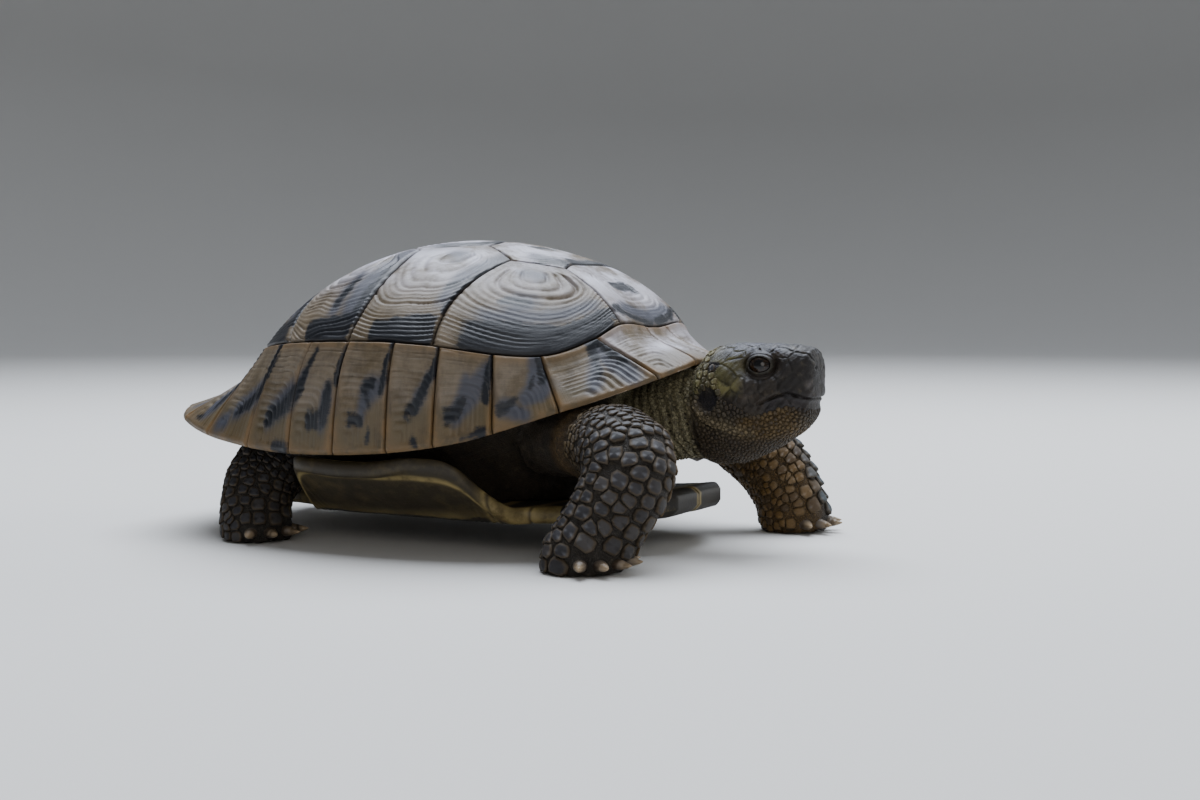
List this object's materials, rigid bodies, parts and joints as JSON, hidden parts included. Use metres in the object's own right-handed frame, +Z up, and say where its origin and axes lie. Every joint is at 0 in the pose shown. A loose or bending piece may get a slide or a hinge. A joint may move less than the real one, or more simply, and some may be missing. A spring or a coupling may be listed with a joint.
{
  "type": "hermann's tortoise, still life-size model",
  "caption": "Still life-size model of a walking Hermann's tortoise, with a domed shell of separate horny plates, raised head, bent scaly legs and flat clawed soles.",
  "frame": {"origin": "middle of the footprint box, on the floor the four soles stand on", "axes": "+X forwards towards the snout, +Y to the animal's left, +Z up"},
  "size_m": [0.2008, 0.1266, 0.0855],
  "materials": {
    "plate_horn": "satin ridged horn, tan with blue-black patches",
    "plastron_horn": "smooth horn, olive yellow with black blotches",
    "scaly_skin": "dry scaly skin, olive brown to blue-grey",
    "wet_eye": "wet near-black"
  },
  "bodies": {
    "root": {"vertebral_1": "plate_horn", "vertebral_2": "plate_horn", "vertebral_3": "plate_horn", "vertebral_4": "plate_horn", "vertebral_5": "plate_horn", "costal_left_1": "plate_horn", "costal_left_2": "plate_horn", "costal_left_3": "plate_horn", "costal_left_4": "plate_horn", "marginal_left_1": "plate_horn", "marginal_left_2": "plate_horn", "marginal_left_3": "plate_horn", "marginal_left_4": "plate_horn", "marginal_left_5": "plate_horn", "marginal_left_6": "plate_horn", "marginal_left_7": "plate_horn", "marginal_left_8": "plate_horn", "marginal_left_9": "plate_horn", "marginal_left_10": "plate_horn", "marginal_left_11": "plate_horn", "supracaudal_left": "plate_horn", "costal_right_1": "plate_horn", "costal_right_2": "plate_horn", "costal_right_3": "plate_horn", "costal_right_4": "plate_horn", "marginal_right_1": "plate_horn", "marginal_right_2": "plate_horn", "marginal_right_3": "plate_horn", "marginal_right_4": "plate_horn", "marginal_right_5": "plate_horn", "marginal_right_6": "plate_horn", "marginal_right_7": "plate_horn", "marginal_right_8": "plate_horn", "marginal_right_9": "plate_horn", "marginal_right_10": "plate_horn", "marginal_right_11": "plate_horn", "supracaudal_right": "plate_horn", "nuchal": "plate_horn", "plastron": "plastron_horn", "trunk": "scaly_skin", "neck": "scaly_skin", "head": "scaly_skin", "lower_jaw": "scaly_skin", "foreleg_left": "scaly_skin", "foreleg_right": "scaly_skin", "hindleg_left": "scaly_skin", "hindleg_right": "scaly_skin", "tail": "scaly_skin", "eye_left": "wet_eye", "eye_right": "wet_eye"}
  },
  "joints": []
}
